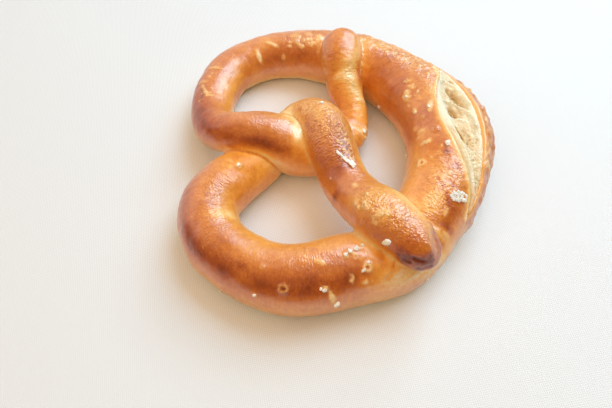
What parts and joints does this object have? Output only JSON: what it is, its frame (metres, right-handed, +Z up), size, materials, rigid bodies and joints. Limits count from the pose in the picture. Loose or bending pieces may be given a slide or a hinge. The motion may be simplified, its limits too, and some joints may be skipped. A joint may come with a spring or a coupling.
{
  "type": "soft pretzel",
  "caption": "Soft pretzel: a rope of glossy brown lye bread, looped, twisted and pressed on to its thick belly, with an open pale slit along the belly and grains of coarse salt.",
  "frame": {"origin": "on the table, under the middle of the pretzel's outline", "axes": "+Z up out of the table it lies on, -Y towards the slit belly, +X across the pretzel, from one loop to the other"},
  "size_m": [0.1502, 0.1368, 0.0361],
  "materials": {
    "crust": "glossy brown lye crust, mahogany on the tops and golden low on the sides, finely wrinkled and blistered",
    "crumb": "pale, soft, torn crumb, matt and porous",
    "salt": "coarse rock salt, cloudy white with a wet sheen"
  },
  "bodies": {
    "root": {"pretzel": "crust"}
  },
  "joints": []
}
